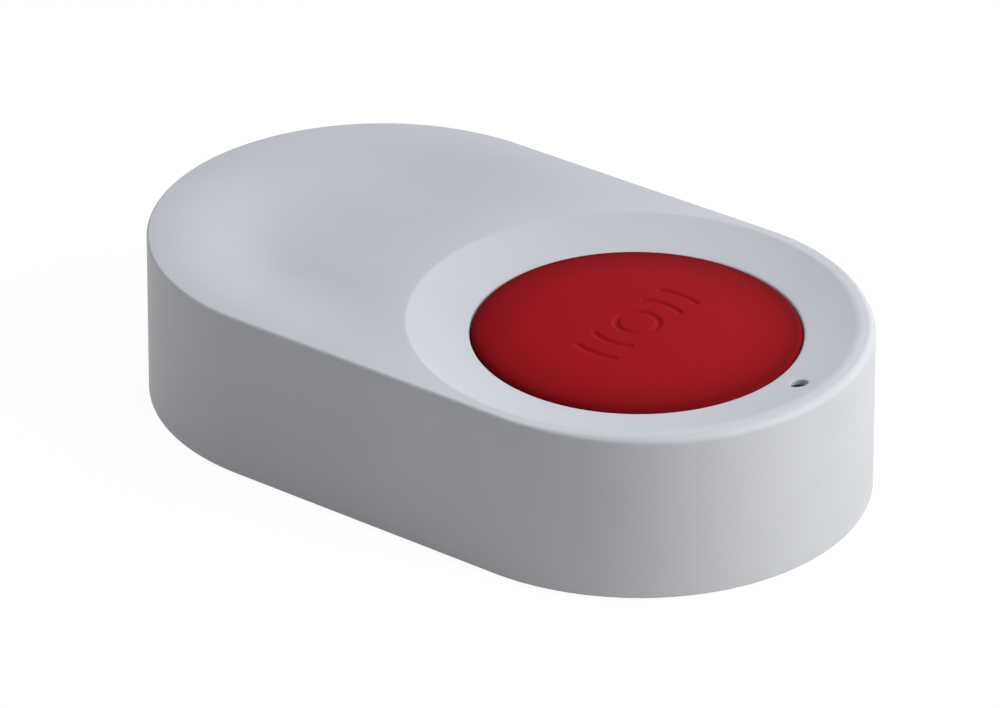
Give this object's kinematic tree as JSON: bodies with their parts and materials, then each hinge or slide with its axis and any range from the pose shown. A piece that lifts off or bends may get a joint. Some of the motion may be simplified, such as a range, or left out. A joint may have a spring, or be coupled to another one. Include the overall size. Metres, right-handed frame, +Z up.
{
  "type": "medical alert call unit",
  "caption": "Low case with round ends, a finger rest on one half and a large domed press button sunk in a shallow dish on the other, with an indicator port beside it.",
  "frame": {"origin": "middle of the footprint, on the surface that the four feet stand on", "axes": "+X along the case towards its button end, +Y across it, +Z up"},
  "size_m": [0.0844, 0.0506, 0.0191],
  "materials": {
    "white_plastic": "fine matte moulded, cool white",
    "red_plastic": "fine matte moulded, deep signal red",
    "silicone_grey": "matt soft seal",
    "silicone_clear": "matt translucent silicone",
    "rubber_grey": "matt rubber",
    "clear_plastic": "clear acrylic",
    "lamp_body": "cast lamp body",
    "board_green": "glass-fibre board, green lacquer",
    "board_blue": "glass-fibre board, blue lacquer",
    "steel": "zinc-plated steel",
    "spring_steel": "plated spring steel",
    "tin": "tinned steel sheet",
    "cell_steel": "nickel-plated steel can",
    "brass_strip": "bare brass sheet",
    "black_plastic": "black moulded plastic",
    "aluminium_can": "bare aluminium can",
    "red_stem": "red moulded stem"
  },
  "bodies": {
    "case": {"front_shell": "white_plastic", "rear_cover": "white_plastic", "cover_gasket": "silicone_grey", "rubber_feet": "rubber_grey", "button_membrane": "silicone_clear", "light_pipe": "clear_plastic", "indicator_led": "lamp_body", "main_board": "board_green", "board_screws": "steel", "radio_board": "board_blue", "shield_can": "tin", "antenna": "brass_strip", "controller_chip": "black_plastic", "reservoir_capacitor": "aluminium_can", "sounder_case": "black_plastic", "sounder_disc": "brass_strip", "coin_cell": "cell_steel", "cell_holder": "black_plastic", "cell_positive_contact": "spring_steel", "cell_negative_contact": "spring_steel", "switch_base": "black_plastic", "switch_plate": "tin", "switch_dome": "spring_steel", "pairing_base": "black_plastic", "pairing_plate": "tin", "pairing_dome": "spring_steel"},
    "button": {"button_cap": "red_plastic"},
    "switch_plunger": {"switch_stem": "red_stem"},
    "pairing_plunger": {"pairing_stem": "black_plastic"}
  },
  "joints": [
    {"name": "button_press", "type": "slide", "parent": "case", "child": "button", "axis": [0, 0, -1], "range_m": [0, 0.0008], "stiffness_N_per_m": 2500, "springref_m": -0.0004, "deforming": ["button_membrane"]},
    {"name": "switch_plunger_travel", "type": "slide", "parent": "case", "child": "switch_plunger", "axis": [0, 0, -1], "range_m": [0, 0.0008], "stiffness_N_per_m": 500, "deforming": ["switch_dome"]},
    {"name": "pairing_press", "type": "slide", "parent": "case", "child": "pairing_plunger", "axis": [0, 0, 1], "range_m": [0, 0.00025], "stiffness_N_per_m": 2000, "springref_m": -0.0001, "deforming": ["pairing_dome"]}
  ],
  "couplings": [
    {"joint": "switch_plunger_travel", "follows": "button_press", "ratio": 1}
  ]
}
